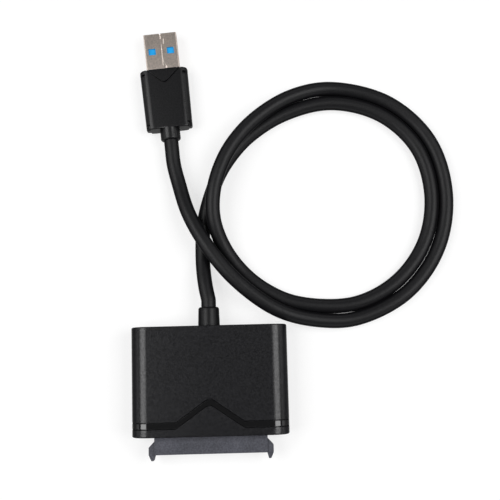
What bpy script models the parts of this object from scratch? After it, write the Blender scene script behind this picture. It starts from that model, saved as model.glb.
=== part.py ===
"""A USB 3.0 to SATA adapter: a flat housing with a 22-contact receptacle, a looped cord and a USB-A plug."""

import math

import bmesh
import bpy
from mathutils import Matrix, Vector

# Lengths are in metres. The housing lies flat on z = 0, its receptacle faces -Y and the cord leaves at +Y.
MM = 0.001
GAP = 0.3 * MM  # between pieces that touch
CUT = 2.0 * MM  # how far a cutter runs past the face that it opens

# Housing: two half shells that meet at mid height
HOUSING_WIDTH = 54.0 * MM
HOUSING_DEPTH = 37.5 * MM
HOUSING_HEIGHT = 13.0 * MM
HOUSING_WALL = 1.6 * MM
SIDE_ROUND = 5.8 * MM
RIM_ROUND = 0.45 * MM
MID_HEIGHT = HOUSING_HEIGHT / 2
CORD_END = HOUSING_DEPTH / 2
SATA_END = -HOUSING_DEPTH / 2

# Glossy strip let into the upper shell
STRIP_WIDTH = 2.1 * MM
STRIP_THICKNESS = 0.6 * MM
STRIP_TO_END = 3.85 * MM  # from the housing's receptacle end to the strip's centre line
CHEVRON_HALF_WIDTH = 11.6 * MM
CHEVRON_SLOPE = math.radians(35.0)
CHEVRON_ROUND = 2.2 * MM

# SATA receptacle
RECEPTACLE_WALL = 2.0 * MM  # above and below the slots
RECEPTACLE_END_WALL = 2.075 * MM  # beyond the first and last slot
RECEPTACLE_REACH = 6.0 * MM  # outside the housing
RECEPTACLE_INSIDE = 4.5 * MM
EAR_REACH = 2.0 * MM  # beside the body
EAR_HEIGHT = 4.2 * MM
EAR_START = 1.4 * MM  # from the housing to the ear's slope
EAR_FULL = 3.5 * MM  # from the housing to the ear's straight side
EAR_BEYOND = 2.0 * MM  # past the receptacle's face
EAR_CHAMFER = 0.9 * MM
EAR_SLIT = 0.3 * MM  # from the body's side to the tip
EAR_ROOT = 1.0 * MM  # how far it runs into the body
FLANGE_OVERHANG = 1.7 * MM
FLANGE_RISE = 1.2 * MM
FLANGE_THICKNESS = 1.2 * MM
SLOT_HEIGHT = 1.6 * MM
SLOT_DEPTH = 6.8 * MM
SLOT_MARGIN = 1.4 * MM  # from the slot's end to the nearest contact's centre
KEY_WIDTH = 1.0 * MM
KEY_RISE = 1.1 * MM

# Contacts of the receptacle
CONTACT_PITCH = 1.27 * MM
SIGNAL_CONTACTS = 7
POWER_CONTACTS = 15
SEGMENT_STEP = 6.35 * MM  # from the last signal contact to the first power contact
CONTACT_WIDTH = 0.7 * MM
CONTACT_THICKNESS = 0.2 * MM
CONTACT_CROWN = 0.25 * MM
CONTACT_SETBACK = 0.9 * MM  # from the receptacle's face to the contact's nose
CONTACT_CROWN_AT = 1.1 * MM  # from the nose
CONTACT_FOOT_AT = 2.4 * MM
CONTACT_TAIL = 2.4 * MM  # behind the receptacle, on the board

# Board and what it carries
BOARD_OVERHANG = 1.65 * MM  # beside the receptacle's body, on each side
BOARD_THICKNESS = 1.2 * MM
POST_RADIUS = 1.5 * MM
POST_INSET = 2.6 * MM  # from the board's edges to a post's centre
CHIP_SIDE = 7.0 * MM
CHIP_HEIGHT = 0.9 * MM
CRYSTAL_SIZE = (3.2 * MM, 2.5 * MM, 0.8 * MM)
REGULATOR_SIZE = (6.5 * MM, 3.5 * MM, 1.6 * MM)
INDUCTOR_SIZE = (4.0 * MM, 4.0 * MM, 2.0 * MM)
CAPACITOR_SIZE = (2.0 * MM, 1.25 * MM, 0.9 * MM)
CAPACITOR_COUNT = 3
CAPACITOR_STEP = 3.0 * MM
CRYSTAL_PLACE = (-7.0 * MM, 1.8 * MM)  # places from the board's middle
REGULATOR_PLACE = (10.5 * MM, 2.3 * MM)
INDUCTOR_PLACE = (10.5 * MM, -3.5 * MM)
CAPACITOR_X = -12.8 * MM

# Strain relief, cord and conductors
CORD_DIAMETER = 5.0 * MM
RELIEF_WALL = 1.15 * MM  # round the cord at the tip
RELIEF_TAPER = 0.2 * MM  # how much thicker the wall is at the housing
RELIEF_LENGTH = 6.6 * MM
RELIEF_ROUND = 0.8 * MM
COLLAR_THICKNESS = 1.5 * MM
CORD_STEP = 7.4 * MM  # between the tube's points
CORD_LEAD = 2.5 * MM  # straight out of the strain relief and into the plug's sleeve
CORD_ROUNDNESS = 3  # the tube's bevel_resolution, which gives ten sides
CONDUCTOR_RADIUS = 0.5 * MM
CONDUCTOR_COUNT = 5
CONDUCTOR_STEP = 1.4 * MM  # at the strain relief
CONDUCTOR_SPREAD = 2.5 * MM  # on the board
CONDUCTOR_RUN = 6.3 * MM  # from the strain relief's collar to the board
CONDUCTOR_SEAT = 4.0 * MM  # how far each one lies on the board
CONDUCTOR_POINTS = 7

# Plug, drawn with its origin in the middle of the overmould's rear face and +Y to the tip
PLUG_PLACE = (-12.9 * MM, 90.3 * MM)
PLUG_LEAN = math.radians(5.1)
OVERMOULD_WIDTH = 17.4 * MM  # at the front
OVERMOULD_TAPER = 0.7 * MM  # how much narrower it is at the cord
OVERMOULD_LENGTH = 22.2 * MM
OVERMOULD_HEIGHT = 7.2 * MM
OVERMOULD_ROUND = 3.2 * MM
OVERMOULD_RIM = 0.5 * MM
NOTCH_WIDTH = 1.1 * MM  # of the notches in the long roundings near the front
NOTCH_TO_END = 1.5 * MM
REAR_NOTCH = 1.9 * MM  # from the rear end
NOTCH_DEPTH = 1.1 * MM
NOTCH_REACH = 1.7 * MM  # in from the side
NOTCH_FLOOR = 1.4 * MM  # above and below mid height
V_WIDTH = 13.0 * MM  # of the V-shaped groove at the front of the upper face
V_LENGTH = 6.05 * MM
V_DEPTH = 0.9 * MM
V_ROUND = 1.9 * MM
V_GROOVE = 0.45 * MM
SLEEVE_WALL = 1.1 * MM  # round the cord
SLEEVE_LENGTH = 4.1 * MM
SLEEVE_ROUND = 0.7 * MM
SHELL_WIDTH = 12.0 * MM
SHELL_HEIGHT = 4.5 * MM
SHELL_WALL = 0.3 * MM
SHELL_ROUND = 0.4 * MM
SHELL_REACH = 13.6 * MM  # outside the overmould
SHELL_SEAT = 8.5 * MM  # inside the overmould
WINDOW_WIDTH = 2.65 * MM
WINDOW_LENGTH = 2.4 * MM
WINDOW_OFFSET = 3.35 * MM
WINDOW_TO_TIP = 6.7 * MM
TONGUE_THICKNESS = 1.9 * MM
TONGUE_SETBACK = 0.5 * MM
TONGUE_FREE = 12.4 * MM  # from the tip to the full-height block
FRONT_PIN_WIDTH = 1.0 * MM
FRONT_PIN_LENGTH = 6.6 * MM
FRONT_PIN_TO_TIP = 1.8 * MM
FRONT_PIN_PLACES = (-3.5 * MM, -1.0 * MM, 1.0 * MM, 3.5 * MM)
REAR_PIN_WIDTH = 0.9 * MM
REAR_PIN_LENGTH = 2.4 * MM
REAR_PIN_TO_TIP = 9.2 * MM
REAR_PIN_STEP = 2.0 * MM
REAR_PIN_COUNT = 5
PIN_THICKNESS = 0.2 * MM

# Sizes and places that follow
FIRST_CONTACT_X = -(CONTACT_PITCH * (SIGNAL_CONTACTS + POWER_CONTACTS - 2) + SEGMENT_STEP) / 2
FIRST_POWER_X = FIRST_CONTACT_X + CONTACT_PITCH * (SIGNAL_CONTACTS - 1) + SEGMENT_STEP
RECEPTACLE_WIDTH = 2 * (SLOT_MARGIN + RECEPTACLE_END_WALL - FIRST_CONTACT_X)
RECEPTACLE_HEIGHT = SLOT_HEIGHT + 2 * RECEPTACLE_WALL
FACE_Y = SATA_END - RECEPTACLE_REACH
BACK_Y = SATA_END + RECEPTACLE_INSIDE
SLOT_FLOOR = MID_HEIGHT - SLOT_HEIGHT / 2
CONTACT_Z = SLOT_FLOOR + GAP
BOARD_TOP = CONTACT_Z - GAP
BOARD_BOTTOM = BOARD_TOP - BOARD_THICKNESS
PARTS_Z = BOARD_TOP + GAP
RELIEF_TIP_RADIUS = CORD_DIAMETER / 2 + RELIEF_WALL
RELIEF_BASE_RADIUS = RELIEF_TIP_RADIUS + RELIEF_TAPER
COLLAR_RADIUS = MID_HEIGHT - HOUSING_WALL - GAP
COLLAR_FRONT = CORD_END - HOUSING_WALL - GAP
COLLAR_BACK = COLLAR_FRONT - COLLAR_THICKNESS
BOARD_WIDTH = RECEPTACLE_WIDTH + 2 * BOARD_OVERHANG
BOARD_FRONT = BACK_Y + GAP
BOARD_BACK = COLLAR_BACK - CONDUCTOR_RUN
STRIP_Y = SATA_END + STRIP_TO_END
SLEEVE_RADIUS = CORD_DIAMETER / 2 + SLEEVE_WALL
PLUG_HEIGHT = max(OVERMOULD_HEIGHT / 2, SLEEVE_RADIUS)  # it lies on the same surface as the housing
TIP_Y = OVERMOULD_LENGTH + SHELL_REACH

# The cord's route between its two ends, as it lies on the surface: under, round, over and round again
CORD_ROUTE = [
    (-1.1, 33.5, 5.5), (-1.9, 43.0, 3.2), (-1.1, 56.5, 2.55), (3.3, 70.7, 2.55), (8.1, 79.1, 2.55),
    (15.7, 87.4, 2.55), (28.8, 95.4, 2.55), (46.1, 99.2, 2.55), (64.2, 94.2, 2.55), (76.8, 81.6, 2.55),
    (81.1, 64.2, 2.55), (77.7, 47.0, 2.55), (67.2, 33.2, 2.55), (51.5, 25.5, 2.55), (30.8, 26.4, 2.55),
    (19.4, 31.7, 2.55), (11.6, 38.5, 2.6), (5.8, 46.8, 4.0), (2.5, 56.0, 6.8), (2.4, 65.0, 8.2),
    (4.9, 74.5, 8.3), (9.5, 83.3, 7.9), (17.9, 92.6, 7.2), (31.1, 101.1, 5.2), (46.3, 104.4, 2.9),
    (66.9, 98.7, 2.55), (81.3, 84.2, 2.55), (86.3, 64.4, 2.55), (82.5, 44.9, 2.55), (70.5, 29.1, 2.55),
    (52.5, 20.4, 2.6), (38.0, 20.1, 4.0), (24.1, 23.9, 6.3), (9.9, 34.4, 8.0), (0.0, 46.7, 8.4),
    (-6.5, 58.8, 6.6), (-9.9, 70.0, 4.1), (-11.7, 77.5, 3.6),
]

for old in list(bpy.data.objects):
    bpy.data.objects.remove(old)
parts = bpy.data.collections.new("usb_sata_adapter")
cutters = bpy.data.collections.new("cutters")
bpy.context.scene.collection.children.link(parts)
bpy.context.scene.collection.children.link(cutters)


def material(name, colour, roughness, metallic=0.0):
    """A plain Principled material."""
    made = bpy.data.materials.new(name)
    made.use_nodes = True
    shader = made.node_tree.nodes["Principled BSDF"]
    shader.inputs["Base Color"].default_value = (*colour, 1.0)
    shader.inputs["Roughness"].default_value = roughness
    shader.inputs["Metallic"].default_value = metallic
    return made


def keep(obj, look):
    """Makes the object a piece of the adapter."""
    parts.objects.link(obj)
    obj.data.materials.clear()
    obj.data.materials.append(look)
    return obj


def helper(obj):
    """Makes the object a cutter or another guide that isn't part of the adapter."""
    cutters.objects.link(obj)
    obj.hide_render = True
    obj.display_type = "WIRE"
    return obj


def mesh_object(name, mesh_data):
    """An unlinked object with this bmesh as its mesh, its faces pointing out."""
    bmesh.ops.recalc_face_normals(mesh_data, faces=mesh_data.faces)
    data = bpy.data.meshes.new(name)
    mesh_data.to_mesh(data)
    mesh_data.free()
    return bpy.data.objects.new(name, data)


def box(name, low, high):
    """A box between two corners."""
    low, high = Vector(low), Vector(high)
    body = bmesh.new()
    bmesh.ops.create_cube(body, size=1.0)
    bmesh.ops.scale(body, vec=high - low, verts=body.verts)
    bmesh.ops.translate(body, vec=(low + high) / 2, verts=body.verts)
    return mesh_object(name, body)


def bar(name, low, high, radius, segments, rim=0.0):
    """A box whose four edges along Y are rounded, and its end rims too where rim is given."""
    low, high = Vector(low), Vector(high)
    body = bmesh.new()
    bmesh.ops.create_cube(body, size=1.0)
    bmesh.ops.scale(body, vec=high - low, verts=body.verts)
    bmesh.ops.translate(body, vec=(low + high) / 2, verts=body.verts)
    along_y = 0.9 * (high.y - low.y)
    long_edges = [edge for edge in body.edges if abs(edge.verts[0].co.y - edge.verts[1].co.y) > along_y]
    bmesh.ops.bevel(body, geom=long_edges, offset=radius, segments=segments, profile=0.5, affect="EDGES")
    if rim:
        ends = [face for face in body.faces if abs(face.normal.y) > 0.9]
        rims = list({edge for face in ends for edge in face.edges})
        bmesh.ops.bevel(body, geom=rims, offset=rim, segments=2, profile=0.5, affect="EDGES")
    return mesh_object(name, body)


def cylinder(name, radius, start, length, sides=24):
    """A cylinder along +Z from the start point."""
    body = bmesh.new()
    bmesh.ops.create_cone(
        body, cap_ends=True, segments=sides, radius1=radius, radius2=radius, depth=length
    )
    bmesh.ops.translate(body, vec=Vector(start) + Vector((0, 0, length / 2)), verts=body.verts)
    return mesh_object(name, body)


def solid_from_curve(curve_object):
    """The mesh of an evaluated curve object, its caps welded, as a new object in the same place."""
    bpy.context.scene.collection.objects.link(curve_object)
    bpy.context.view_layer.update()
    graph = bpy.context.evaluated_depsgraph_get()
    data = bpy.data.meshes.new_from_object(curve_object.evaluated_get(graph))
    body = bmesh.new()
    body.from_mesh(data)
    bmesh.ops.remove_doubles(body, verts=body.verts, dist=0.001 * MM)
    name = curve_object.name
    place = curve_object.matrix_world.copy()
    bpy.data.objects.remove(curve_object)
    made = mesh_object(name, body)
    made.matrix_world = place
    return made


def outline_prism(name, points, low, high):
    """A flat outline in X and Y, filled and extruded from one height to the other."""
    curve = bpy.data.curves.new(name, "CURVE")
    curve.dimensions = "2D"
    curve.fill_mode = "BOTH"
    curve.extrude = (high - low) / 2
    spline = curve.splines.new("POLY")
    spline.points.add(len(points) - 1)
    for point, (x, y) in zip(spline.points, points):
        point.co = (x, y, 0.0, 1.0)
    spline.use_cyclic_u = True
    made = bpy.data.objects.new(name, curve)
    made.location.z = (low + high) / 2
    return solid_from_curve(made)


def tube(name, points, radius, bevel_resolution):
    """A round tube through these points, with filled caps."""
    curve = bpy.data.curves.new(name, "CURVE")
    curve.dimensions = "3D"
    curve.bevel_depth = radius
    curve.bevel_resolution = bevel_resolution
    curve.use_fill_caps = True
    spline = curve.splines.new("POLY")
    spline.points.add(len(points) - 1)
    for point, place in zip(spline.points, points):
        point.co = (*place, 1.0)
    return bpy.data.objects.new(name, curve)


def turned(name, profile, start, steps=28):
    """A profile of (radius, distance along +Y from the start), tip first, turned about that line."""
    body = bmesh.new()
    verts = [body.verts.new((radius, 0.0, along)) for radius, along in profile]
    for first, second in zip(verts, verts[1:]):
        body.edges.new((first, second))
    data = bpy.data.meshes.new(name)
    body.to_mesh(data)
    body.free()
    made = bpy.data.objects.new(name, data)
    made.matrix_world = Matrix.Translation(start) @ Matrix.Rotation(-math.pi / 2, 4, "X")
    screw = made.modifiers.new("Turn", "SCREW")
    screw.steps = steps
    screw.render_steps = steps
    screw.use_merge_vertices = True
    screw.merge_threshold = 0.00001
    return made


def combine(obj, others, operation):
    """A Boolean modifier for each of the other objects, which become helpers."""
    for other in others:
        if other.name not in cutters.objects:
            helper(other)
        modifier = obj.modifiers.new(f"{operation} {other.name}", "BOOLEAN")
        modifier.operation = operation
        modifier.solver = "EXACT"
        modifier.object = other


def smooth(obj, angle=40.0):
    """Smooth shading, except across edges sharper than the angle."""
    obj.data.shade_smooth()
    obj.data.set_sharp_from_angle(angle=math.radians(angle))


def quarter(centre, radius, start_degrees, steps=4):
    """Points along a quarter circle, anticlockwise."""
    return [
        (
            centre[0] + radius * math.cos(math.radians(start_degrees + 90.0 * i / steps)),
            centre[1] + radius * math.sin(math.radians(start_degrees + 90.0 * i / steps)),
        )
        for i in range(steps + 1)
    ]


def housing_bar(name, inset, segments=8, rim=0.0):
    """The housing's outer form, drawn in by a distance on every side."""
    half_width = HOUSING_WIDTH / 2 - inset
    low = (-half_width, SATA_END + inset, inset)
    high = (half_width, CORD_END - inset, HOUSING_HEIGHT - inset)
    radius = min(SIDE_ROUND, MID_HEIGHT - GAP) - inset
    return bar(name, low, high, radius, segments, rim)


def strip_edge(offset, reach):
    """The glossy strip's centre line, moved this far along Y, from left to right."""
    base = STRIP_Y + offset
    apex = base + CHEVRON_HALF_WIDTH * math.tan(CHEVRON_SLOPE)
    centre = apex - CHEVRON_ROUND / math.cos(CHEVRON_SLOPE)
    arc = []
    for i in range(-3, 4):
        angle = CHEVRON_SLOPE * i / 3
        arc.append((CHEVRON_ROUND * math.sin(angle), centre + CHEVRON_ROUND * math.cos(angle)))
    return [(-reach, base), (-CHEVRON_HALF_WIDTH, base), *arc, (CHEVRON_HALF_WIDTH, base), (reach, base)]


def strip_prism(name, half_width, low):
    """The strip's plan shape, extruded from a height to above the housing."""
    reach = HOUSING_WIDTH / 2 + CUT
    points = strip_edge(-half_width, reach) + strip_edge(half_width, reach)[::-1]
    return outline_prism(name, points, low, HOUSING_HEIGHT + CUT)


def post_places():
    """Where the board is carried, near its four corners."""
    x = BOARD_WIDTH / 2 - POST_INSET
    return [(sx * x, y) for sx in (-1, 1) for y in (BOARD_FRONT + POST_INSET, BOARD_BACK - POST_INSET)]


def relief_hole():
    """The round hole in the housing's cord end."""
    hole = cylinder("relief_hole", RELIEF_BASE_RADIUS + GAP, (0, 0, 0), HOUSING_WALL + 2 * CUT, 32)
    place = Matrix.Translation((0, CORD_END + CUT, MID_HEIGHT))
    hole.matrix_world = place @ Matrix.Rotation(math.pi / 2, 4, "X")
    return helper(hole)


def receptacle_hole():
    """The rectangular hole in the housing's receptacle end."""
    half_width = RECEPTACLE_WIDTH / 2 + GAP
    half_height = RECEPTACLE_HEIGHT / 2 + GAP
    low = (-half_width, SATA_END - CUT, MID_HEIGHT - half_height)
    high = (half_width, SATA_END + HOUSING_WALL + CUT, MID_HEIGHT + half_height)
    return helper(box("receptacle_hole", low, high))


def make_housing():
    """Both half shells, with the posts that hold the board between them."""
    black = material("housing_black", (0.019, 0.019, 0.020), 0.45)
    inner = housing_bar("housing_inside", HOUSING_WALL)
    openings = [inner, relief_hole(), receptacle_hole()]
    far = max(HOUSING_WIDTH, HOUSING_DEPTH)
    groove = housing_bar("strip_groove", -CUT)
    groove_depth = STRIP_THICKNESS + GAP
    combine(groove, [housing_bar("groove_floor", groove_depth)], "DIFFERENCE")
    combine(groove, [strip_prism("groove_plan", STRIP_WIDTH / 2 + GAP / 2, MID_HEIGHT - CUT)], "INTERSECT")
    roof = HOUSING_HEIGHT - HOUSING_WALL / 2
    halves = (
        ("upper_shell", MID_HEIGHT + GAP / 2, HOUSING_HEIGHT + CUT, BOARD_TOP + GAP, roof),
        ("lower_shell", -CUT, MID_HEIGHT - GAP / 2, HOUSING_WALL / 2, BOARD_BOTTOM - GAP),
    )
    for name, low, high, post_low, post_high in halves:
        shell = keep(housing_bar(name, 0.0, rim=RIM_ROUND), black)
        keeper = box(f"{name}_half", (-far, -far, low), (far, far, high))
        combine(shell, [keeper], "INTERSECT")
        combine(shell, openings, "DIFFERENCE")
        posts = [
            cylinder(f"{name}_post_{i}", POST_RADIUS, (x, y, post_low), post_high - post_low)
            for i, (x, y) in enumerate(post_places())
        ]
        combine(shell, posts, "UNION")
        if name == "upper_shell":
            combine(shell, [groove], "DIFFERENCE")
        smooth(shell)


def make_strip():
    """The glossy strip, flush with the housing's surface."""
    strip = keep(housing_bar("glossy_strip", 0.0), material("strip_gloss", (0.010, 0.010, 0.011), 0.12))
    plan = strip_prism("strip_plan", STRIP_WIDTH / 2 - GAP / 2, MID_HEIGHT + GAP / 2)
    combine(strip, [plan], "INTERSECT")
    combine(strip, [housing_bar("strip_underside", STRIP_THICKNESS)], "DIFFERENCE")
    smooth(strip)


def ear_outline(side):
    """A guide ear in plan: a slope out, a straight side, and a point beyond the face."""
    edge = RECEPTACLE_WIDTH / 2
    inner = edge - EAR_ROOT
    outer = edge + EAR_REACH
    tip = FACE_Y - EAR_BEYOND
    points = [
        (inner, SATA_END - EAR_START),
        (edge, SATA_END - EAR_START),
        (outer, SATA_END - EAR_FULL),
        (outer, FACE_Y),
        (outer - EAR_CHAMFER, tip),
        (edge + EAR_SLIT, tip),
        (edge - EAR_SLIT, FACE_Y + EAR_SLIT),
        (inner, FACE_Y + EAR_SLIT),
    ]
    return [(side * x, y) for x, y in points]


def slot_cutters(name, first_x, count):
    """A segment's keyed slot, and the way through behind it for its contacts."""
    low_x = first_x - SLOT_MARGIN
    high_x = first_x + CONTACT_PITCH * (count - 1) + SLOT_MARGIN
    slot_end = FACE_Y + SLOT_DEPTH
    top = SLOT_FLOOR + SLOT_HEIGHT
    passage = 2 * GAP + CONTACT_THICKNESS
    side = CONTACT_WIDTH / 2 + GAP
    return [
        box(f"{name}_slot", (low_x, FACE_Y - CUT, SLOT_FLOOR), (high_x, slot_end, top)),
        box(f"{name}_key", (low_x, FACE_Y - CUT, SLOT_FLOOR - KEY_RISE), (low_x + KEY_WIDTH, slot_end, top)),
        box(
            f"{name}_passage",
            (first_x - side, slot_end - CUT, SLOT_FLOOR),
            (first_x + CONTACT_PITCH * (count - 1) + side, BACK_Y + CUT, SLOT_FLOOR + passage),
        ),
    ]


def make_receptacle():
    """The receptacle's moulding: body, ears and the flange behind the housing's wall."""
    half_width = RECEPTACLE_WIDTH / 2
    half_height = RECEPTACLE_HEIGHT / 2
    low = (-half_width, FACE_Y, MID_HEIGHT - half_height)
    high = (half_width, BACK_Y, MID_HEIGHT + half_height)
    body = keep(box("sata_receptacle", low, high), material("receptacle_grey", (0.075, 0.078, 0.092), 0.5))
    ears = [
        outline_prism(name, ear_outline(side), MID_HEIGHT - EAR_HEIGHT / 2, MID_HEIGHT + EAR_HEIGHT / 2)
        for name, side in (("left_ear", -1), ("right_ear", 1))
    ]
    flange_front = SATA_END + HOUSING_WALL + GAP
    flange_back = flange_front + FLANGE_THICKNESS
    flange = box(
        "flange",
        (-half_width - FLANGE_OVERHANG, flange_front, MID_HEIGHT - half_height - FLANGE_RISE),
        (half_width + FLANGE_OVERHANG, flange_back, MID_HEIGHT + half_height + FLANGE_RISE),
    )
    combine(body, [*ears, flange], "UNION")
    slots = slot_cutters("signal", FIRST_CONTACT_X, SIGNAL_CONTACTS)
    slots += slot_cutters("power", FIRST_POWER_X, POWER_CONTACTS)
    combine(body, slots, "DIFFERENCE")


def make_contacts():
    """A crowned strip for each contact, from the slot's mouth to the board."""
    gold = material("contact_gold", (0.83, 0.60, 0.26), 0.3, 1.0)
    nose = FACE_Y + CONTACT_SETBACK
    tail = BACK_Y + CONTACT_TAIL
    crown = nose + CONTACT_CROWN_AT
    foot = nose + CONTACT_FOOT_AT
    lower = [(nose, 0.0), (crown, CONTACT_CROWN), (foot, 0.0), (tail, 0.0)]
    upper = [(y, z + CONTACT_THICKNESS) for y, z in lower]
    side = lower + upper[::-1]
    # the outline is drawn in Y and Z, so the prism is stood on its side
    upright = Matrix(((0, 0, 1, 0), (1, 0, 0, 0), (0, 1, 0, 0), (0, 0, 0, 1)))
    rows = (
        ("signal_contact", FIRST_CONTACT_X, SIGNAL_CONTACTS),
        ("power_contact", FIRST_POWER_X, POWER_CONTACTS),
    )
    for name, first_x, count in rows:
        for i in range(count):
            strip = outline_prism(f"{name}_{i + 1:02d}", side, -CONTACT_WIDTH / 2, CONTACT_WIDTH / 2)
            strip.matrix_world = Matrix.Translation((first_x + i * CONTACT_PITCH, 0, CONTACT_Z)) @ upright
            keep(strip, gold)


def on_board(name, size, place, look):
    """A small part standing on the board, its centre this far from the board's middle."""
    x = place[0]
    y = (BOARD_FRONT + BOARD_BACK) / 2 + place[1]
    half_x, half_y = size[0] / 2, size[1] / 2
    made = box(name, (x - half_x, y - half_y, PARTS_Z), (x + half_x, y + half_y, PARTS_Z + size[2]))
    return keep(made, look)


def make_board():
    """The circuit board and what is soldered on it."""
    half_width = BOARD_WIDTH / 2
    low = (-half_width, BOARD_FRONT, BOARD_BOTTOM)
    high = (half_width, BOARD_BACK, BOARD_TOP)
    keep(box("circuit_board", low, high), material("board_green", (0.02, 0.11, 0.05), 0.5))
    ceramic = material("component_black", (0.02, 0.02, 0.02), 0.5)
    metal = material("component_metal", (0.6, 0.6, 0.6), 0.3, 1.0)
    brown = material("capacitor_brown", (0.35, 0.22, 0.12), 0.6)
    on_board("bridge_chip", (CHIP_SIDE, CHIP_SIDE, CHIP_HEIGHT), (0, 0), ceramic)
    on_board("crystal", CRYSTAL_SIZE, CRYSTAL_PLACE, metal)
    on_board("regulator", REGULATOR_SIZE, REGULATOR_PLACE, ceramic)
    on_board("inductor", INDUCTOR_SIZE, INDUCTOR_PLACE, ceramic)
    for i in range(CAPACITOR_COUNT):
        place = (CAPACITOR_X, (i - (CAPACITOR_COUNT - 1) / 2) * CAPACITOR_STEP)
        on_board(f"capacitor_{i + 1}", CAPACITOR_SIZE, place, brown)


def make_relief():
    """The sleeve at the housing, turned, with its collar inside the wall."""
    tip = CORD_END + RELIEF_LENGTH - COLLAR_BACK
    wall_face = CORD_END - COLLAR_BACK
    rounding = [
        (RELIEF_TIP_RADIUS - RELIEF_ROUND + x, tip - RELIEF_ROUND + y)
        for x, y in reversed(quarter((0, 0), RELIEF_ROUND, 0))
    ]
    profile = [(0, tip), *rounding, (RELIEF_BASE_RADIUS, wall_face), (RELIEF_BASE_RADIUS, COLLAR_THICKNESS)]
    profile += [(COLLAR_RADIUS, COLLAR_THICKNESS), (COLLAR_RADIUS, 0), (0, 0)]
    relief = turned("strain_relief", profile, (0, COLLAR_BACK, MID_HEIGHT))
    smooth(keep(relief, material("relief_rubber", (0.020, 0.020, 0.021), 0.6)))


def make_conductors():
    """The insulated conductors inside the housing, fanning out from the strain relief to the board."""
    colours = ((0.4, 0.02, 0.02), (0.5, 0.5, 0.5), (0.02, 0.25, 0.05), (0.02, 0.02, 0.02), (0.02, 0.06, 0.35))
    start = COLLAR_BACK - GAP
    end = BOARD_BACK - CONDUCTOR_SEAT
    height = BOARD_TOP + GAP + CONDUCTOR_RADIUS
    for i in range(CONDUCTOR_COUNT):
        place = i - (CONDUCTOR_COUNT - 1) / 2
        points = []
        for k in range(CONDUCTOR_POINTS):
            t = k / (CONDUCTOR_POINTS - 1)
            ease = t * t * (3 - 2 * t)
            x = place * (CONDUCTOR_STEP + (CONDUCTOR_SPREAD - CONDUCTOR_STEP) * ease)
            points.append((x, start + (end - start) * t, MID_HEIGHT + (height - MID_HEIGHT) * ease))
        wire = tube(f"conductor_{i + 1}", points, CONDUCTOR_RADIUS, 2)
        keep(wire, material(f"conductor_colour_{i + 1}", colours[i % len(colours)], 0.45))


def smooth_route(places, step):
    """Points at even steps along a centripetal Catmull-Rom curve through these places."""
    places = [Vector(place) for place in places]
    ends = [2 * places[0] - places[1], *places, 2 * places[-1] - places[-2]]
    fine = []
    for a, b, c, d in zip(ends, ends[1:], ends[2:], ends[3:]):
        tb = math.sqrt((b - a).length)
        tc = tb + math.sqrt((c - b).length)
        td = tc + math.sqrt((d - c).length)
        for i in range(16):
            t = tb + (tc - tb) * i / 16
            ab = a.lerp(b, t / tb)
            bc = b.lerp(c, (t - tb) / (tc - tb))
            cd = c.lerp(d, (t - tc) / (td - tc))
            fine.append(ab.lerp(bc, t / tc).lerp(bc.lerp(cd, (t - tb) / (td - tb)), (t - tb) / (tc - tb)))
    fine.append(places[-1])
    along = [0.0]
    for first, second in zip(fine, fine[1:]):
        along.append(along[-1] + (second - first).length)
    count = round(along[-1] / step)
    points = []
    k = 0
    for i in range(count + 1):
        wanted = along[-1] * i / count
        while k < len(fine) - 2 and along[k + 1] < wanted:
            k += 1
        points.append(fine[k].lerp(fine[k + 1], (wanted - along[k]) / (along[k + 1] - along[k])))
    return points


def plug_frame():
    """Where the plug's own axes lie."""
    return Matrix.Translation((*PLUG_PLACE, PLUG_HEIGHT)) @ Matrix.Rotation(PLUG_LEAN, 4, "Z")


def make_cord():
    """The cord, from the strain relief's tip to the plug's sleeve."""
    start = Vector((0, CORD_END + RELIEF_LENGTH + GAP, MID_HEIGHT))
    end = plug_frame() @ Vector((0, -SLEEVE_LENGTH - GAP, 0))
    first = start + Vector((0, CORD_LEAD, 0))
    last = plug_frame() @ Vector((0, -SLEEVE_LENGTH - GAP - CORD_LEAD, 0))
    route = [first, *[Vector(place) * MM for place in CORD_ROUTE], last]
    points = [start, *smooth_route(route, CORD_STEP), end]
    cord = tube("cord", points, CORD_DIAMETER / 2, CORD_ROUNDNESS)
    keep(cord, material("cord_black", (0.022, 0.022, 0.023), 0.5))


def v_line(inset):
    """The V's outer edge in plan, pointing to the cord, or a line this far inside it, from left to right."""
    front = OVERMOULD_LENGTH + CUT
    slope = math.atan2(V_LENGTH, V_WIDTH / 2)
    radius = V_ROUND - inset
    centre = OVERMOULD_LENGTH - V_LENGTH + V_ROUND / math.cos(slope)
    arc = []
    for i in range(-2, 3):
        angle = slope * i / 2
        arc.append((radius * math.sin(angle), centre - radius * math.cos(angle)))
    mouth = V_WIDTH / 2 + (CUT - inset / math.cos(slope)) / math.tan(slope)
    return [(-mouth, front), *arc, (mouth, front)]


def make_notches(half_width, half_height):
    """Cutters for the notches at the overmould's corners, above and below mid height."""
    inner = bar(
        "notch_floor",
        (NOTCH_DEPTH - half_width, -2 * CUT, NOTCH_DEPTH - half_height),
        (half_width - NOTCH_DEPTH, OVERMOULD_LENGTH + CUT, half_height - NOTCH_DEPTH),
        OVERMOULD_ROUND - NOTCH_DEPTH,
        6,
    )
    front_high = OVERMOULD_LENGTH - NOTCH_TO_END
    cutters_made = []
    for side in (-1, 1):
        near, far = sorted((side * (half_width - NOTCH_REACH), side * (half_width + CUT)))
        for face in (-1, 1):
            low, high = sorted((face * NOTCH_FLOOR, face * (half_height + CUT)))
            for start, stop in ((-CUT, REAR_NOTCH), (front_high - NOTCH_WIDTH, front_high)):
                notch = box(f"notch_{len(cutters_made)}", (near, start, low), (far, stop, high))
                combine(notch, [inner], "DIFFERENCE")
                cutters_made.append(notch)
    return inner, cutters_made


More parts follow.
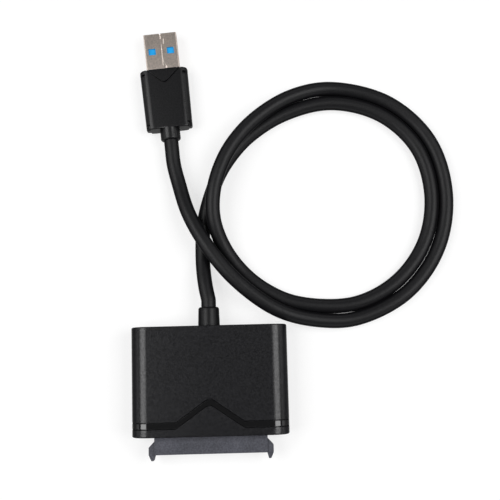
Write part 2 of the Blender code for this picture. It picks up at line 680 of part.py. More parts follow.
def make_overmould():
    """The plug's overmould, with its sleeve, V-shaped groove, notches and the pocket that holds the shell."""
    half_width = OVERMOULD_WIDTH / 2
    half_height = OVERMOULD_HEIGHT / 2
    body = bar(
        "plug_overmould",
        (-half_width, 0, -half_height),
        (half_width, OVERMOULD_LENGTH, half_height),
        min(OVERMOULD_ROUND, half_height - GAP),
        6,
        OVERMOULD_RIM,
    )
    for vert in body.data.vertices:
        vert.co.x *= 1 - OVERMOULD_TAPER / OVERMOULD_WIDTH * (1 - vert.co.y / OVERMOULD_LENGTH)
    keep(body, material("overmould_black", (0.019, 0.019, 0.020), 0.5))
    rounding = quarter((SLEEVE_RADIUS - SLEEVE_ROUND, SLEEVE_ROUND - SLEEVE_LENGTH), SLEEVE_ROUND, -90)
    sleeve_profile = [(0, CUT), (SLEEVE_RADIUS, CUT), *reversed(rounding), (0, -SLEEVE_LENGTH)]
    sleeve = turned("sleeve", sleeve_profile, (0, 0, 0))
    combine(body, [sleeve], "UNION")
    pocket_x = SHELL_WIDTH / 2 + GAP
    pocket_z = SHELL_HEIGHT / 2 + GAP
    pocket_back = OVERMOULD_LENGTH - SHELL_SEAT - GAP
    pocket_front = OVERMOULD_LENGTH + CUT
    pocket = box("shell_pocket", (-pocket_x, pocket_back, -pocket_z), (pocket_x, pocket_front, pocket_z))
    groove_line = v_line(0.0) + v_line(V_GROOVE)[::-1]
    groove = outline_prism("v_groove", groove_line, half_height - V_DEPTH, half_height + CUT)
    floor, notches = make_notches(half_width - OVERMOULD_TAPER / 4, half_height)
    combine(body, [pocket, groove, *notches], "DIFFERENCE")
    smooth(body)
    return [body, sleeve, pocket, groove, floor, *notches]


def make_plug_shell():
    """The plug's steel shell: a tube with two windows on each wide face."""
    half_width = SHELL_WIDTH / 2
    half_height = SHELL_HEIGHT / 2
    back = OVERMOULD_LENGTH - SHELL_SEAT
    low = (-half_width, back, -half_height)
    high = (half_width, TIP_Y, half_height)
    shell = bar("plug_shell", low, high, SHELL_ROUND, 3)
    keep(shell, material("shell_steel", (0.36, 0.33, 0.31), 0.35, 1.0))
    inside_x = half_width - SHELL_WALL
    inside_z = half_height - SHELL_WALL
    low = (-inside_x, back - CUT, -inside_z)
    high = (inside_x, TIP_Y + CUT, inside_z)
    inside = bar("shell_inside", low, high, max(SHELL_ROUND - SHELL_WALL, SHELL_WALL / 4), 2)
    windows = []
    for name, side in (("left_window", -1), ("right_window", 1)):
        centre = side * WINDOW_OFFSET
        middle = TIP_Y - WINDOW_TO_TIP
        low = (centre - WINDOW_WIDTH / 2, middle - WINDOW_LENGTH / 2, -half_height - CUT)
        high = (centre + WINDOW_WIDTH / 2, middle + WINDOW_LENGTH / 2, half_height + CUT)
        windows.append(box(name, low, high))
    combine(shell, [inside, *windows], "DIFFERENCE")
    smooth(shell)
    return [shell, inside, *windows]


def make_insulator():
    """The blue insulator: a tongue along the upper face and a full-height block behind it."""
    side = SHELL_WIDTH / 2 - SHELL_WALL - GAP
    top = SHELL_HEIGHT / 2 - SHELL_WALL - GAP
    front = TIP_Y - TONGUE_SETBACK
    block_front = TIP_Y - TONGUE_FREE
    back = OVERMOULD_LENGTH - SHELL_SEAT + GAP
    tongue = keep(
        box("plug_insulator", (-side, back, top - TONGUE_THICKNESS), (side, front, top)),
        material("insulator_blue", (0.012, 0.30, 0.85), 0.4),
    )
    block = box("insulator_block", (-side, back, -top), (side, block_front, top))
    combine(tongue, [block], "UNION")
    return [tongue, block]


def make_pins():
    """The plug's four front contacts and five rear contacts, under the tongue."""
    gold = material("pin_gold", (0.83, 0.60, 0.26), 0.3, 1.0)
    top = SHELL_HEIGHT / 2 - SHELL_WALL - GAP - TONGUE_THICKNESS - GAP
    rear_places = [(i - (REAR_PIN_COUNT - 1) / 2) * REAR_PIN_STEP for i in range(REAR_PIN_COUNT)]
    rows = (
        ("front_pin", FRONT_PIN_PLACES, FRONT_PIN_WIDTH, FRONT_PIN_TO_TIP, FRONT_PIN_LENGTH),
        ("rear_pin", rear_places, REAR_PIN_WIDTH, REAR_PIN_TO_TIP, REAR_PIN_LENGTH),
    )
    made = []
    for name, places, width, to_tip, length in rows:
        for i, x in enumerate(places):
            low = (x - width / 2, TIP_Y - to_tip - length, top - PIN_THICKNESS)
            high = (x + width / 2, TIP_Y - to_tip, top)
            made.append(keep(box(f"{name}_{i + 1}", low, high), gold))
    return made


def make_plug():
    """The whole plug, drawn about its own axes and hung on an empty that carries its place and lean."""
    carrier = bpy.data.objects.new("plug_carrier", None)
    carrier.matrix_world = plug_frame()
    parts.objects.link(carrier)
    for piece in make_overmould() + make_plug_shell() + make_insulator() + make_pins():
        piece.parent = carrier


make_housing()
make_strip()
make_receptacle()
make_contacts()
make_board()
make_relief()
make_conductors()
make_cord()
make_plug()
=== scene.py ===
import math

import bmesh
import bpy
from mathutils import Matrix, Vector


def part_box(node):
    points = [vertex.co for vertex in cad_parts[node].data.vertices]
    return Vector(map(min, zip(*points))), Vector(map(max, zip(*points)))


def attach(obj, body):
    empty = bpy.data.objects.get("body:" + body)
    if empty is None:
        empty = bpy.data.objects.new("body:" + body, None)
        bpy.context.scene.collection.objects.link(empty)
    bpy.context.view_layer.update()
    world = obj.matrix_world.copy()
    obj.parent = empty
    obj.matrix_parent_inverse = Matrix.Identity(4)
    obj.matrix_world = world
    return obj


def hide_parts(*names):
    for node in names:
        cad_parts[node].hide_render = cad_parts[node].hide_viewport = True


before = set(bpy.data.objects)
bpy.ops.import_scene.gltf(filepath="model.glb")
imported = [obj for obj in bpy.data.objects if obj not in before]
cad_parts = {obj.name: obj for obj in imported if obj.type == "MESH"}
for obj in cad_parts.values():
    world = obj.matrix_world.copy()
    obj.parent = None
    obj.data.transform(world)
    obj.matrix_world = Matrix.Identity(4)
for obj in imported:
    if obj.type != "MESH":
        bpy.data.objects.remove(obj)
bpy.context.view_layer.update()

# Camera: it looks down on the adapter as it lies on a table, leaning a little towards the plug, from the
# place and with the lens that put housing, cord and plug where the 500 pixel photograph has them.
MM = 0.001
PHOTO_SIDE = 500
FOCAL_LENGTH = 881.6  # in the photograph's pixels
CAMERA_PLACE = Vector((12.51, 4.84, 315.58)) * MM
CAMERA_TURN = [math.radians(angle) for angle in (7.447, -0.27, -1.471)]

camera = bpy.data.objects.new("camera", bpy.data.cameras.new("camera"))
camera.location = CAMERA_PLACE
camera.rotation_euler = CAMERA_TURN
camera.data.lens = FOCAL_LENGTH / PHOTO_SIDE * camera.data.sensor_width
camera.data.clip_start = 10 * MM
bpy.context.scene.collection.objects.link(camera)
bpy.context.scene.camera = camera
bpy.context.scene.view_settings.view_transform = "Standard"

# Cord: a round data cable in a smooth black jacket, moulded into the strain relief at one end and into the
# plug at the other. It lies in two loops, each strand passing over the one before it.
CORD_DIAMETER = 5.2 * MM
CORD_STEP = 1.5 * MM  # between the points of its centreline
CORD_LEAD = 2.5 * MM  # straight out of the strain relief and into the plug
HIDDEN_END = 1.6 * MM  # of the cord inside each sleeve
EXIT = Vector((0, 25.35, 6.5)) * MM
JACKET_BLACK = (0.0075, 0.0075, 0.0085)
CORD_ROUTE = [  # mm, as in the part's source
    (-1.1, 33.5, 5.5), (-1.9, 43.0, 3.2), (-1.1, 56.5, 2.55), (3.3, 70.7, 2.55), (8.1, 79.1, 2.55),
    (15.7, 87.4, 2.55), (28.8, 95.4, 2.55), (46.1, 99.2, 2.55), (64.2, 94.2, 2.55), (76.8, 81.6, 2.55),
    (81.1, 64.2, 2.55), (77.7, 47.0, 2.55), (67.2, 33.2, 2.55), (51.5, 25.5, 2.55), (30.8, 26.4, 2.55),
    (19.4, 31.7, 2.55), (11.6, 38.5, 2.6), (5.8, 46.8, 4.0), (2.5, 56.0, 6.8), (2.4, 65.0, 8.2),
    (4.9, 74.5, 8.3), (9.5, 83.3, 7.9), (17.9, 92.6, 7.2), (31.1, 101.1, 5.2), (46.3, 104.4, 2.9),
    (66.9, 98.7, 2.55), (81.3, 84.2, 2.55), (86.3, 64.4, 2.55), (82.5, 44.9, 2.55), (70.5, 29.1, 2.55),
    (52.5, 20.4, 2.6), (38.0, 20.1, 4.0), (24.1, 23.9, 6.3), (9.9, 34.4, 8.0), (0.0, 46.7, 8.4),
    (-6.5, 58.8, 6.6), (-9.9, 70.0, 4.1), (-11.7, 77.5, 3.6),
]
CURVE_PIECES = 16  # of the route between two of its places, before the even steps are taken
CORD_RESOLUTION = 8
SLEEVE_TIP = -4.1 * MM  # the plug's sleeve ends here along the plug's own Y
PLUG_FRAME = Matrix.Translation(Vector((-12.9, 90.3, 3.6)) * MM) @ Matrix.Rotation(math.radians(5.1), 4, "Z")
PATCHES_PER_METRE = 90.0  # of the moulded surfaces, as are the values below
SPECKS_PER_METRE = 1800.0
UNEVENNESS = 0.25  # of the roughness, from patch to patch
FACING_GLOSS = 0.8  # of a satin skin that faces the eye
GRAZING_GLOSS = 0.5  # of one that is seen edge on
FACING_END = 0.16  # how far it has turned away where the first gloss ends
DULL_START = 0.42
DULL_END = 0.6
GRAZING_START = 0.85


def smooth_route(places, step):
    """Points at even steps along a smooth curve through these places."""
    ends = [2 * places[0] - places[1], *places, 2 * places[-1] - places[-2]]
    fine = []
    for a, b, c, d in zip(ends, ends[1:], ends[2:], ends[3:]):
        tb = math.sqrt((b - a).length)
        tc = tb + math.sqrt((c - b).length)
        td = tc + math.sqrt((d - c).length)
        for i in range(CURVE_PIECES):
            t = tb + (tc - tb) * i / CURVE_PIECES
            ab = a.lerp(b, t / tb)
            bc = b.lerp(c, (t - tb) / (tc - tb))
            cd = c.lerp(d, (t - tc) / (td - tc))
            fine.append(ab.lerp(bc, t / tc).lerp(bc.lerp(cd, (t - tb) / (td - tb)), (t - tb) / (tc - tb)))
    fine.append(places[-1])
    along = [0.0]
    for first, second in zip(fine, fine[1:]):
        along.append(along[-1] + (second - first).length)
    count = round(along[-1] / step)
    points = []
    k = 0
    for i in range(count + 1):
        wanted = along[-1] * i / count
        while k < len(fine) - 2 and along[k + 1] < wanted:
            k += 1
        points.append(fine[k].lerp(fine[k + 1], (wanted - along[k]) / (along[k + 1] - along[k])))
    return points


def tube(name, points, radius, resolution):
    """A round tube along these points, as a curve."""
    curve = bpy.data.curves.new(name, "CURVE")
    curve.dimensions = "3D"
    curve.bevel_depth = radius
    curve.bevel_resolution = resolution
    curve.use_fill_caps = True
    spline = curve.splines.new("POLY")
    spline.points.add(len(points) - 1)
    for point, place in zip(spline.points, points):
        point.co = (*place, 1.0)
    spline.use_smooth = True
    return bpy.data.objects.new(name, curve)


def surface_group():
    """A moulded surface: its mottled colour, uneven roughness and gloss, and the height of its fine grain."""
    group = bpy.data.node_groups.new("moulded_surface", "ShaderNodeTree")
    sockets = group.interface
    sockets.new_socket("Colour", in_out="INPUT", socket_type="NodeSocketColor")
    for name in ("Drift", "Speckle", "Roughness", "Unevenness", "Grains per metre"):
        sockets.new_socket(name, in_out="INPUT", socket_type="NodeSocketFloat")
    sockets.new_socket("Colour", in_out="OUTPUT", socket_type="NodeSocketColor")
    for name in ("Roughness", "Gloss", "Height"):
        sockets.new_socket(name, in_out="OUTPUT", socket_type="NodeSocketFloat")
    nodes, links = group.nodes, group.links
    given = nodes.new("NodeGroupInput")
    result = nodes.new("NodeGroupOutput")
    place = nodes.new("ShaderNodeTexCoord")
    patches = nodes.new("ShaderNodeTexNoise")
    patches.inputs["Scale"].default_value = PATCHES_PER_METRE
    patches.inputs["Detail"].default_value = 3.0
    specks = nodes.new("ShaderNodeTexNoise")
    specks.inputs["Scale"].default_value = SPECKS_PER_METRE
    specks.inputs["Detail"].default_value = 1.0
    grain = nodes.new("ShaderNodeTexNoise")
    grain.inputs["Detail"].default_value = 2.0
    links.new(place.outputs["Object"], patches.inputs["Vector"])
    links.new(place.outputs["Object"], specks.inputs["Vector"])
    links.new(place.outputs["Object"], grain.inputs["Vector"])
    links.new(given.outputs["Grains per metre"], grain.inputs["Scale"])

    def around_one(source, amount):
        """1 plus the amount times how far the source is from its middle."""
        centred = nodes.new("ShaderNodeMath")
        centred.operation = "SUBTRACT"
        centred.inputs[1].default_value = 0.5
        links.new(source, centred.inputs[0])
        scaled = nodes.new("ShaderNodeMath")
        scaled.operation = "MULTIPLY_ADD"
        scaled.inputs[2].default_value = 1.0
        links.new(centred.outputs[0], scaled.inputs[0])
        links.new(amount, scaled.inputs[1])
        return scaled.outputs[0]

    tint = nodes.new("ShaderNodeVectorMath")
    tint.operation = "SCALE"
    links.new(given.outputs["Colour"], tint.inputs[0])
    links.new(around_one(patches.outputs["Fac"], given.outputs["Drift"]), tint.inputs["Scale"])
    speckled = nodes.new("ShaderNodeVectorMath")
    speckled.operation = "SCALE"
    links.new(tint.outputs[0], speckled.inputs[0])
    flecks = around_one(specks.outputs["Fac"], given.outputs["Speckle"])
    links.new(flecks, speckled.inputs["Scale"])
    links.new(speckled.outputs[0], result.inputs["Colour"])
    links.new(flecks, result.inputs["Gloss"])
    rough = nodes.new("ShaderNodeMath")
    rough.operation = "MULTIPLY"
    rough.use_clamp = True
    links.new(given.outputs["Roughness"], rough.inputs[0])
    links.new(around_one(patches.outputs["Fac"], given.outputs["Unevenness"]), rough.inputs[1])
    links.new(rough.outputs[0], result.inputs["Roughness"])
    links.new(grain.outputs["Fac"], result.inputs["Height"])
    return group


moulded_surface = surface_group()


def surfaced(name, colour, roughness, drift, speckle, grains, depth):
    """A material with the shared surface, its grain so many to the metre and so deep."""
    finish = bpy.data.materials.new(name)
    finish.use_nodes = True
    nodes, links = finish.node_tree.nodes, finish.node_tree.links
    shader = nodes["Principled BSDF"]
    surface = nodes.new("ShaderNodeGroup")
    surface.name = "Surface"
    surface.node_tree = moulded_surface
    surface.inputs["Colour"].default_value = (*colour, 1.0)
    surface.inputs["Drift"].default_value = drift
    surface.inputs["Speckle"].default_value = speckle
    surface.inputs["Roughness"].default_value = roughness
    surface.inputs["Unevenness"].default_value = UNEVENNESS
    surface.inputs["Grains per metre"].default_value = grains
    bump = nodes.new("ShaderNodeBump")
    bump.inputs["Distance"].default_value = depth
    links.new(surface.outputs["Height"], bump.inputs["Height"])
    links.new(surface.outputs["Colour"], shader.inputs["Base Color"])
    links.new(surface.outputs["Roughness"], shader.inputs["Roughness"])
    links.new(bump.outputs["Normal"], shader.inputs["Normal"])
    return finish


def moulded(name, colour, roughness, drift, speckle, grains, depth, index=1.52, edge_gloss=0.1):
    """A moulded plastic or rubber: its satin skin shines where it faces the eye, dulls as it turns, and
    shines a little again where it is seen edge on."""
    finish = surfaced(name, colour, roughness, drift, speckle, grains, depth)
    nodes, links = finish.node_tree.nodes, finish.node_tree.links
    shader = nodes["Principled BSDF"]
    shader.inputs["Specular IOR Level"].default_value = 0.0
    shader.inputs["Coat IOR"].default_value = index
    shader.inputs["Coat Roughness"].default_value = roughness
    facing = nodes.new("ShaderNodeLayerWeight")
    skin = nodes.new("ShaderNodeValToRGB")
    skin.color_ramp.interpolation = "EASE"
    turns = (
        (FACING_END, FACING_GLOSS),
        (DULL_START, edge_gloss),
        (DULL_END, edge_gloss),
        (GRAZING_START, GRAZING_GLOSS),
    )
    while len(skin.color_ramp.elements) < len(turns):
        skin.color_ramp.elements.new(0.5)
    for stop, (turn, weight) in zip(skin.color_ramp.elements, turns):
        stop.position = turn
        stop.color = (weight, weight, weight, 1.0)
    gloss = nodes.new("ShaderNodeMath")
    gloss.operation = "MULTIPLY"
    gloss.use_clamp = True
    links.new(facing.outputs["Facing"], skin.inputs["Fac"])
    links.new(skin.outputs["Color"], gloss.inputs[0])
    links.new(nodes["Surface"].outputs["Gloss"], gloss.inputs[1])
    links.new(gloss.outputs[0], shader.inputs["Coat Weight"])
    return finish


def fit(piece, finish, node):
    """Puts a finished piece in the scene, in the place of the CAD node that it stands for."""
    bpy.context.scene.collection.objects.link(piece)
    piece.data.materials.append(finish)
    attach(piece, "root")
    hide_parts(node)


cord_start = EXIT - Vector((0, HIDDEN_END, 0))
cord_first = EXIT + Vector((0, CORD_LEAD, 0))
cord_last = PLUG_FRAME @ Vector((0, SLEEVE_TIP - CORD_LEAD, 0))
cord_end = PLUG_FRAME @ Vector((0, SLEEVE_TIP + HIDDEN_END, 0))
middle = smooth_route([cord_first, *[Vector(place) * MM for place in CORD_ROUTE], cord_last], CORD_STEP)
cord = tube("cord_jacket", [cord_start, EXIT, *middle, cord_end], CORD_DIAMETER / 2, CORD_RESOLUTION)
jacket = moulded(
    "cord_jacket", JACKET_BLACK, roughness=0.45, drift=0.3, speckle=0.4, grains=4000, depth=0.015 * MM,
    index=1.38,
)
fit(cord, jacket, "cord")

# Strain relief: a short rubber sleeve round the cord, a little thicker at the housing, with a rounded lip at
# its end and a collar that the two halves of the housing hold from inside.
RELIEF_BLACK = (0.0060, 0.0060, 0.0068)
RELIEF_TIP_RADIUS = 3.65 * MM
RELIEF_ROUND = 0.8 * MM
LIP_ROUND = 0.3 * MM
BORE_RADIUS = 2.62 * MM
BORE_DEPTH = 2.5 * MM
BASE_WIDENING = 0.2 * MM
COLLAR_THICKNESS = 1.5 * MM
TURNED_SIDES = 48
CLOSING_REACH = 0.001 * MM  # joins the vertices where a turned shape closes
SHARP_FROM = math.radians(40)
relief_low, relief_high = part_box("strain_relief")
COLLAR_RADIUS = (relief_high.x - relief_low.x) / 2


def quarter(centre, radius, start_degrees, steps=6):
    """Points along a quarter circle, anticlockwise."""
    angles = [math.radians(start_degrees + 90.0 * i / steps) for i in range(steps + 1)]
    return [(centre[0] + radius * math.cos(a), centre[1] + radius * math.sin(a)) for a in angles]


def turned(name, profile, place):
    """A closed profile of (radius, distance along +Y) turned about the place's own Y axis."""
    body = bmesh.new()
    verts = [body.verts.new((radius, along, 0.0)) for radius, along in profile]
    edges = [body.edges.new(pair) for pair in zip(verts, verts[1:])]
    bmesh.ops.spin(
        body, geom=verts + edges, axis=(0, 1, 0), cent=(0, 0, 0), angle=math.tau, steps=TURNED_SIDES,
        use_merge=True,
    )
    bmesh.ops.remove_doubles(body, verts=body.verts, dist=CLOSING_REACH)
    bmesh.ops.recalc_face_normals(body, faces=body.faces)
    bmesh.ops.transform(body, matrix=place, verts=body.verts)
    data = bpy.data.meshes.new(name)
    body.to_mesh(data)
    body.free()
    data.shade_smooth()
    data.set_sharp_from_angle(angle=SHARP_FROM)
    return bpy.data.objects.new(name, data)


length = relief_high.y - relief_low.y
lip = quarter((BORE_RADIUS + LIP_ROUND, length - LIP_ROUND), LIP_ROUND, start_degrees=90, steps=3)
shoulder = quarter((RELIEF_TIP_RADIUS - RELIEF_ROUND, length - RELIEF_ROUND), RELIEF_ROUND, start_degrees=0)
relief_profile = [
    (0, length - BORE_DEPTH), (BORE_RADIUS, length - BORE_DEPTH), *reversed(lip), *reversed(shoulder),
    (RELIEF_TIP_RADIUS + BASE_WIDENING, COLLAR_THICKNESS + LIP_ROUND),
    (RELIEF_TIP_RADIUS + BASE_WIDENING, COLLAR_THICKNESS),
    (COLLAR_RADIUS, COLLAR_THICKNESS), (COLLAR_RADIUS, 0), (0, 0),
]
relief = turned("relief_sleeve", relief_profile, Matrix.Translation((0, relief_low.y, EXIT.z)))
relief_rubber = moulded(
    "relief_rubber", RELIEF_BLACK, roughness=0.38, drift=0.2, speckle=0.4, grains=4000, depth=0.02 * MM,
    index=1.37,
)
fit(relief, relief_rubber, "strain_relief")

# Housing: two injection-moulded half shells in satin black plastic that meet at mid height, with rounded long
# sides. The upper one carries a groove for the glossy band.
HOUSING_BLACK = (0.0097, 0.0097, 0.0112)
HOUSING_EASE = 0.12 * MM
SAME_PLACE = 0.002 * MM  # joins the loose triangles of a CAD node
FLAT_WITHIN = math.radians(0.5)
EDGE_FROM = math.radians(30)


def whole_copy(name, node):
    """A copy of a CAD node with its triangles joined to whole faces."""
    body = bmesh.new()
    body.from_mesh(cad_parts[node].data)
    bmesh.ops.remove_doubles(body, verts=body.verts, dist=SAME_PLACE)
    bmesh.ops.dissolve_limit(body, angle_limit=FLAT_WITHIN, verts=body.verts, edges=body.edges)
    data = bpy.data.meshes.new(name)
    body.to_mesh(data)
    body.free()
    return bpy.data.objects.new(name, data)


def ease(piece, width):
    """Rounds the piece's sharp edges and shades it smooth, its flat faces flat."""
    body = bmesh.new()
    body.from_mesh(piece.data)
    edges = [edge for edge in body.edges if edge.is_manifold and edge.calc_face_angle() > EDGE_FROM]
    bmesh.ops.bevel(
        body, geom=edges, offset=width, segments=2, profile=0.5, affect="EDGES", material=-1,
        clamp_overlap=False,
    )
    body.to_mesh(piece.data)
    body.free()
    piece.data.shade_smooth()
    piece.modifiers.new("Flat faces stay flat", "WEIGHTED_NORMAL").keep_sharp = True


def eased_copy(name, node, width):
    """A copy of a CAD node with its sharp edges eased."""
    piece = whole_copy(name, node)
    ease(piece, width)
    return piece


satin_black = moulded(
    "housing_satin", HOUSING_BLACK, roughness=0.27, drift=0.25, speckle=1.3, grains=3500, depth=0.02 * MM
)
for name, node in (("upper_housing", "upper_shell"), ("lower_housing", "lower_shell")):
    fit(eased_copy(name, node, HOUSING_EASE), satin_black, node)

# Glossy band: a thin polished strip let into the upper shell, straight at both sides and raised to a blunt
# point in the middle, which carries on down the housing's rounded sides.
BAND_BLACK = (0.0040, 0.0040, 0.0045)
BAND_EASE = 0.06 * MM
polished_black = moulded(
    "band_gloss", BAND_BLACK, roughness=0.12, drift=0.2, speckle=0.1, grains=3000, depth=0.002 * MM,
    index=1.82,
)
fit(eased_copy("gloss_band", "glossy_strip", BAND_EASE), polished_black, "glossy_strip")

# Receptacle: one dark grey moulding with two keyed slots for a drive's connector and a guide ear at each end.
# A flange inside the housing holds it where the two halves close.
RECEPTACLE_GREY = (0.060, 0.062, 0.078)
RECEPTACLE_EASE = 0.12 * MM
dull_grey = moulded(
    "receptacle_grey", RECEPTACLE_GREY, roughness=0.5, drift=1.0, speckle=0.9, grains=5000, depth=0.02 * MM
)
receptacle = eased_copy("drive_receptacle", "sata_receptacle", RECEPTACLE_EASE)
fit(receptacle, dull_grey, "sata_receptacle")

# Contacts: seven for signals and fifteen for power in the receptacle, and nine pins in the plug. Each is
# stamped from gold-plated strip and pressed into its own place in the moulding.
CONTACT_GOLD = (0.83, 0.60, 0.26)
CONTACT_EASE = 0.03 * MM


def metal(name, colour, roughness, drift, speckle, grains, depth):
    """A metal with the same kind of surface as the mouldings."""
    finish = surfaced(name, colour, roughness, drift, speckle, grains, depth)
    finish.node_tree.nodes["Principled BSDF"].inputs["Metallic"].default_value = 1.0
    return finish


def finish_node(node, finish, width=0.0):
    """Gives a CAD node its finish, and eases its edges this wide with live modifiers."""
    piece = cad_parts[node]
    piece.material_slots[0].material = finish
    if width:
        weld = piece.modifiers.new("Weld", "WELD")
        weld.merge_threshold = SAME_PLACE
        bevel = piece.modifiers.new("Eased edges", "BEVEL")
        bevel.width = width
        bevel.segments = 2
        bevel.angle_limit = SHARP_FROM
        bevel.harden_normals = True


gold = metal(
    "contact_gold", CONTACT_GOLD, roughness=0.28, drift=0.1, speckle=0.1, grains=9000, depth=0.004 * MM
)
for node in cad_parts:
    if "_contact_" in node or "_pin_" in node:
        finish_node(node, gold, CONTACT_EASE)

# Board: a green circuit board on posts inside the housing, with a bridge chip, a crystal, a regulator, an
# inductor and three ceramic capacitors soldered to its upper face.
BOARD_GREEN = (0.02, 0.11, 0.05)
PACKAGE_BLACK = (0.02, 0.02, 0.02)
CAN_METAL = (0.6, 0.6, 0.6)
CAPACITOR_BROWN = (0.35, 0.22, 0.12)
BOARD_EASE = 0.08 * MM

solder_resist = moulded(
    "board_green", BOARD_GREEN, roughness=0.4, drift=0.3, speckle=0.2, grains=3000, depth=0.01 * MM
)
package = moulded(
    "chip_package", PACKAGE_BLACK, roughness=0.5, drift=0.2, speckle=0.3, grains=9000, depth=0.01 * MM
)
can = metal("crystal_can", CAN_METAL, roughness=0.3, drift=0.1, speckle=0.1, grains=4000, depth=0.01 * MM)
ceramic = moulded(
    "capacitor_brown", CAPACITOR_BROWN, roughness=0.6, drift=0.3, speckle=0.2, grains=5000, depth=0.01 * MM
)
for node, finish in (
    ("circuit_board", solder_resist),
    ("bridge_chip", package),
    ("regulator", package),
    ("inductor", package),
    ("crystal", can),
    ("capacitor_1", ceramic),
    ("capacitor_2", ceramic),
    ("capacitor_3", ceramic),
):
    finish_node(node, finish, BOARD_EASE)

# Conductors: five wires in coloured plastic insulation, which leave the cord's jacket in the strain relief
# and are soldered to the board.
INSULATION = (
    (0.40, 0.02, 0.02),
    (0.55, 0.55, 0.55),
    (0.02, 0.25, 0.05),
    (0.02, 0.02, 0.02),
    (0.02, 0.06, 0.35),
)
for number, colour in enumerate(INSULATION, start=1):
    insulation = moulded(
        f"insulation_{number}", colour, roughness=0.4, drift=0.1, speckle=0.2, grains=4000, depth=0.01 * MM
    )
    finish_node(f"conductor_{number}", insulation)

# Plug grip: the black overmould, a rounded bar with a short sleeve round the cord, moulded over the shell's
# rear. It has a V-shaped groove at the front of its upper face and a notch at each end of its long roundings.
GRIP_BLACK = (0.0058, 0.0058, 0.0067)
GRIP_EASE = 0.06 * MM
grip_black = moulded(
    "grip_satin", GRIP_BLACK, roughness=0.33, drift=0.25, speckle=0.6, grains=3500, depth=0.015 * MM,
    index=1.49, edge_gloss=0.2,
)
fit(eased_copy("plug_grip", "plug_overmould", GRIP_EASE), grip_black, "plug_overmould")

# Plug shell: plated sheet steel folded to a tube, with two windows on each wide face. Its fold is locked by
# a dovetail seam down the upper face, a fine groove with a nick where it meets the tip.
SHELL_COLOUR = (0.71, 0.62, 0.556)
SHELL_EDGE_TINT = (0.3, 0.28, 0.27)
SHELL_TIP_Y = 35.8 * MM  # along the plug's own Y
SHELL_TOP = 2.25 * MM  # above the plug's own axis
SHELL_WALL = 0.3 * MM
SHELL_EASE = 0.05 * MM
SEAM_FLATTENING = 0.36
SEAM_OVERLAP = 0.1 * MM  # of one run with the next
SEAM_REACH = 2.5 * MM  # to the side of the axis
SEAM_CREASE = math.radians(8)
SEAM_RUNS = [  # from, to and half width, in mm across and along the plug from its tip
    ((0, 1), (0.05, -1.9), 0.28), ((0.05, -1.9), (1.2, -1.95), 0.1), ((1.2, -1.95), (1.05, -3.95), 0.2),
    ((1.05, -3.95), (0.16, -4.1), 0.1), ((0.16, -4.1), (0.16, -12), 0.15), ((0.16, -12), (1.27, -12.1), 0.1),
    ((1.27, -12.1), (1.27, -15), 0.2),
]
NICK_WIDTH = 0.7 * MM
NICK_DEPTH = 0.6 * MM
NICK_HEIGHT = 1.2 * MM  # of its cutter, through the wall


def plug_piece(name, body):
    """A bmesh in the plug's own axes as an unlinked object in its place."""
    bmesh.ops.recalc_face_normals(body, faces=body.faces)
    bmesh.ops.transform(body, matrix=PLUG_FRAME, verts=body.verts)
    data = bpy.data.meshes.new(name)
    body.to_mesh(data)
    body.free()
    return bpy.data.objects.new(name, data)


def carve(piece, cutters):
    """Cuts these shapes out of the piece for good."""
    bpy.context.scene.collection.objects.link(piece)
    for cutter in cutters:
        bpy.context.scene.collection.objects.link(cutter)
        cut = piece.modifiers.new(cutter.name, "BOOLEAN")
        cut.operation = "DIFFERENCE"
        cut.object = cutter
    bpy.context.view_layer.update()
    data = bpy.data.meshes.new_from_object(piece.evaluated_get(bpy.context.evaluated_depsgraph_get()))
    piece.modifiers.clear()
    piece.data = data
    bpy.context.scene.collection.objects.unlink(piece)
    for cutter in cutters:
        bpy.data.objects.remove(cutter)


def seam_bar(name, start, stop, half_width):
    """A flattened four-sided bar at the height of the shell's upper face, along one run of the seam."""
    first = Vector((start[0] * MM, SHELL_TIP_Y + start[1] * MM, 0))
    last = Vector((stop[0] * MM, SHELL_TIP_Y + stop[1] * MM, 0))
    along = last - first
    radius = half_width * MM
    body = bmesh.new()
    bmesh.ops.create_cone(
        body, cap_ends=True, segments=4, radius1=radius, radius2=radius, depth=along.length + SEAM_OVERLAP
    )
    bmesh.ops.transform(body, matrix=along.to_track_quat("Z", "X").to_matrix().to_4x4(), verts=body.verts)
    bmesh.ops.scale(body, vec=(1, 1, SEAM_FLATTENING), verts=body.verts)
    bmesh.ops.translate(body, vec=(first + last) / 2 + Vector((0, 0, SHELL_TOP)), verts=body.verts)
    return plug_piece(name, body)


def nick_cutter():
    """A small diamond through the upper wall at the tip."""
    body = bmesh.new()
    half = NICK_WIDTH / 2
    bmesh.ops.create_cone(body, cap_ends=True, segments=4, radius1=half, radius2=half, depth=NICK_HEIGHT)
    bmesh.ops.scale(body, vec=(1, NICK_DEPTH / half, 1), verts=body.verts)
    bmesh.ops.translate(body, vec=(0, SHELL_TIP_Y, SHELL_TOP), verts=body.verts)
    return plug_piece("nick", body)


def crease_seam(piece):
    """Keeps the groove's edges sharp under smooth shading."""
    to_plug = PLUG_FRAME.inverted()
    body = bmesh.new()
    body.from_mesh(piece.data)
    for edge in body.edges:
        places = [to_plug @ vert.co for vert in edge.verts]
        near = all(abs(place.x) < SEAM_REACH and place.z > SHELL_TOP - SHELL_WALL for place in places)
        if near and edge.is_manifold and edge.calc_face_angle() > SEAM_CREASE:
            edge.smooth = False
    body.to_mesh(piece.data)
    body.free()


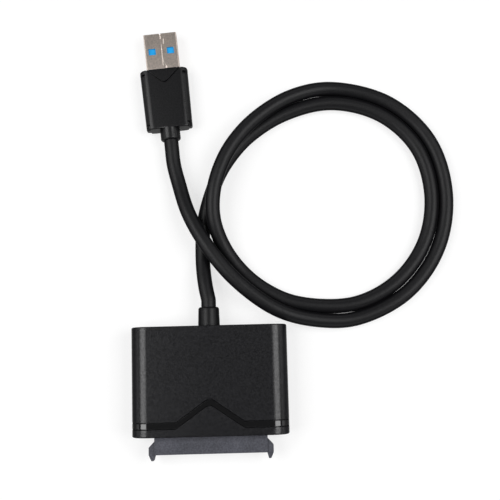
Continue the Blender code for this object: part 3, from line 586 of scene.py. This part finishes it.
steel = metal(
    "shell_steel", SHELL_COLOUR, roughness=0.35, drift=0.15, speckle=0.6, grains=6000, depth=0.01 * MM
)
steel.node_tree.nodes["Principled BSDF"].inputs["Specular Tint"].default_value = (*SHELL_EDGE_TINT, 1.0)
shell = eased_copy("plug_steel", "plug_shell", SHELL_EASE)
shell.modifiers.clear()
seam = [seam_bar(f"seam_{i}", *run) for i, run in enumerate(SEAM_RUNS)]
carve(shell, [*seam, nick_cutter()])
crease_seam(shell)
shell.modifiers.new("Flat faces stay flat", "WEIGHTED_NORMAL").keep_sharp = True
fit(shell, steel, "plug_shell")

# Plug insulator: blue moulded plastic, pushed into the shell from behind, with a tongue along the upper face
# that carries the pins.
INSULATOR_BLUE = (0.010, 0.39, 0.90)
INSULATOR_EASE = 0.08 * MM
blue = moulded(
    "insulator_blue", INSULATOR_BLUE, roughness=0.4, drift=0.1, speckle=0.2, grains=5000, depth=0.01 * MM
)
finish_node("plug_insulator", blue, INSULATOR_EASE)

# Studio: a white table with a wall all round, two soft lamps above the adapter's left and right, and a dim
# room overhead, so that flat black faces stay dark between the lamps' reflections.
FLOOR_RADIUS = 0.5
FLOOR_SIDES = 96
WALL_HEIGHT = 0.2
FLOOR_DROP = 0.07 * MM  # below the underside of the housing
FLOOR_WHITE = (0.34, 0.34, 0.34)
FLOOR_ROUGHNESS = 0.9
CAMERA_LIFT = 0.71
LAMPS_OVER = Vector((0.02, 0.04, 0.0))
LAMP_LEAN = math.radians(36)
LAMP_DISTANCE = 0.7
LAMP_SIZE = (0.44, 0.52)
LAMP_POWER = 3.0
ROOM_LIGHT = 0.08

body = bmesh.new()
bmesh.ops.create_circle(body, cap_ends=True, segments=FLOOR_SIDES, radius=FLOOR_RADIUS)
rim = [edge for edge in body.edges if edge.is_boundary]
raised = bmesh.ops.extrude_edge_only(body, edges=rim)["geom"]
rim_verts = [item for item in raised if isinstance(item, bmesh.types.BMVert)]
bmesh.ops.translate(body, vec=(0, 0, WALL_HEIGHT), verts=rim_verts)
bmesh.ops.translate(body, vec=(0, 0, -FLOOR_DROP), verts=body.verts)
data = bpy.data.meshes.new("table")
body.to_mesh(data)
body.free()
table = bpy.data.objects.new("table", data)
bpy.context.scene.collection.objects.link(table)

paper = bpy.data.materials.new("table_white")
paper.use_nodes = True
nodes, links = paper.node_tree.nodes, paper.node_tree.links
paint = nodes["Principled BSDF"]
paint.inputs["Base Color"].default_value = (*FLOOR_WHITE, 1.0)
paint.inputs["Roughness"].default_value = FLOOR_ROUGHNESS
paint.inputs["Specular IOR Level"].default_value = 0.0
ray = nodes.new("ShaderNodeLightPath")
seen = nodes.new("ShaderNodeMath")
seen.operation = "ADD"
seen.use_clamp = True
seen_too = nodes.new("ShaderNodeMath")
seen_too.operation = "ADD"
seen_too.use_clamp = True
links.new(ray.outputs["Is Camera Ray"], seen.inputs[0])
links.new(ray.outputs["Is Glossy Ray"], seen.inputs[1])
links.new(seen.outputs[0], seen_too.inputs[0])
links.new(ray.outputs["Is Transmission Ray"], seen_too.inputs[1])
lift = nodes.new("ShaderNodeMath")
lift.operation = "MULTIPLY"
lift.inputs[1].default_value = CAMERA_LIFT
links.new(seen_too.outputs[0], lift.inputs[0])
paint.inputs["Emission Color"].default_value = (1.0, 1.0, 1.0, 1.0)
links.new(lift.outputs[0], paint.inputs["Emission Strength"])
table.data.materials.append(paper)

for name, side in (("left_lamp", -1), ("right_lamp", 1)):
    lamp = bpy.data.lights.new(name, "AREA")
    lamp.shape = "RECTANGLE"
    lamp.size, lamp.size_y = LAMP_SIZE
    lamp.energy = LAMP_POWER
    holder = bpy.data.objects.new(name, lamp)
    towards_lamp = Vector((side * math.sin(LAMP_LEAN), 0, math.cos(LAMP_LEAN)))
    holder.location = LAMPS_OVER + LAMP_DISTANCE * towards_lamp
    holder.rotation_euler = (0, side * LAMP_LEAN, 0)
    bpy.context.scene.collection.objects.link(holder)

room = bpy.data.worlds.new("room")
room.use_nodes = True
room.node_tree.nodes["Background"].inputs["Strength"].default_value = ROOM_LIGHT
room.node_tree.nodes["Background"].inputs["Color"].default_value = (1.0, 1.0, 1.0, 1.0)
bpy.context.scene.world = room
